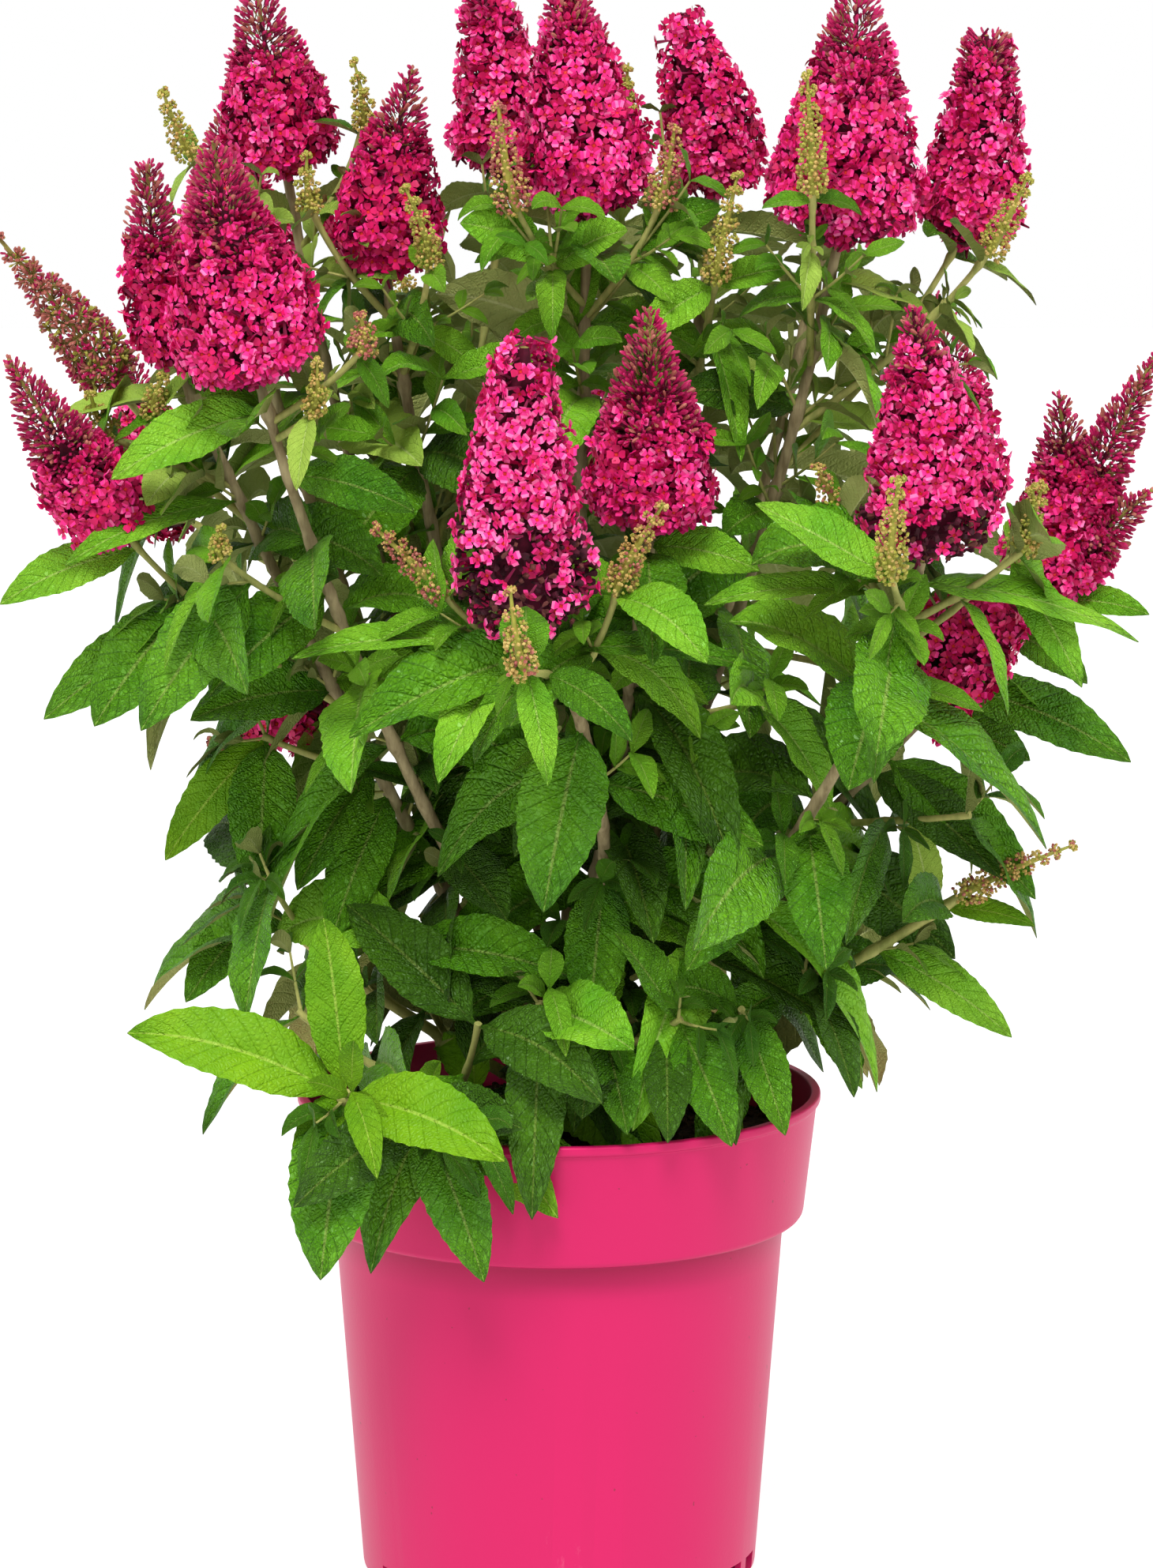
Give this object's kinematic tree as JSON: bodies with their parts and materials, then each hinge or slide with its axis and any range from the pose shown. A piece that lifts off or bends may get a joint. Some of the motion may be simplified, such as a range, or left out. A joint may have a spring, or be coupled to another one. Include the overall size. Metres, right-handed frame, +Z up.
{
  "type": "potted butterfly bush",
  "caption": "Dwarf butterfly bush in a round moulded nursery pot: a short trunk, spreading boughs, drooping toothed leaves and upright cone-shaped flower spikes.",
  "frame": {"origin": "middle of the pot's flat underside, where it stands", "axes": "+Z up through the trunk, +X to the right seen from the front, -Y to the front"},
  "size_m": [0.4904, 0.4144, 0.708],
  "materials": {
    "pot_plastic": "moulded polypropylene, pink, low sheen",
    "compost": "dark moist potting compost",
    "bark": "grey-brown young bark, faintly ribbed",
    "foliage": "mid-green leaf, satin above and felted pale below",
    "blossom": "magenta-pink petals, soft and matt"
  },
  "bodies": {
    "root": {"pot": "pot_plastic", "compost": "compost", "trunk": "bark", "bough_left_front": "bark", "bough_left": "bark", "bough_left_back": "bark", "bough_centre_left": "bark", "bough_centre": "bark", "bough_right_inner": "bark", "bough_right_mid": "bark", "bough_front": "bark", "bough_front_right": "bark", "bough_right_front": "bark", "bough_right": "bark", "bough_back_left": "bark", "bough_back": "bark", "bough_back_right": "bark", "bloom_left_front": "blossom", "bloom_left": "blossom", "bloom_left_2": "blossom", "bloom_left_3": "blossom", "bloom_left_back": "blossom", "bloom_left_back_2": "blossom", "bloom_centre_left": "blossom", "bloom_centre_left_2": "blossom", "bloom_centre": "blossom", "bloom_right_inner": "blossom", "bloom_right_mid": "blossom", "bloom_right_mid_2": "blossom", "bloom_front": "blossom", "bloom_front_right": "blossom", "bloom_right_front": "blossom", "bloom_right": "blossom", "bloom_right_2": "blossom", "bloom_back_left": "blossom", "bloom_back_left_2": "blossom", "bloom_back": "blossom", "bloom_back_2": "blossom", "bloom_back_right": "blossom", "bloom_back_right_2": "blossom", "leaves_left_front": "foliage", "leaves_left": "foliage", "leaves_left_back": "foliage", "leaves_centre_left": "foliage", "leaves_centre": "foliage", "leaves_right_inner": "foliage", "leaves_right_mid": "foliage", "leaves_front": "foliage", "leaves_front_right": "foliage", "leaves_right_front": "foliage", "leaves_right": "foliage", "leaves_back_left": "foliage", "leaves_back": "foliage", "leaves_back_right": "foliage", "leaves_low_front_left": "foliage", "leaves_low_front": "foliage", "leaves_low_right": "foliage", "leaves_low_left": "foliage", "leaves_low_back": "foliage"}
  },
  "joints": []
}
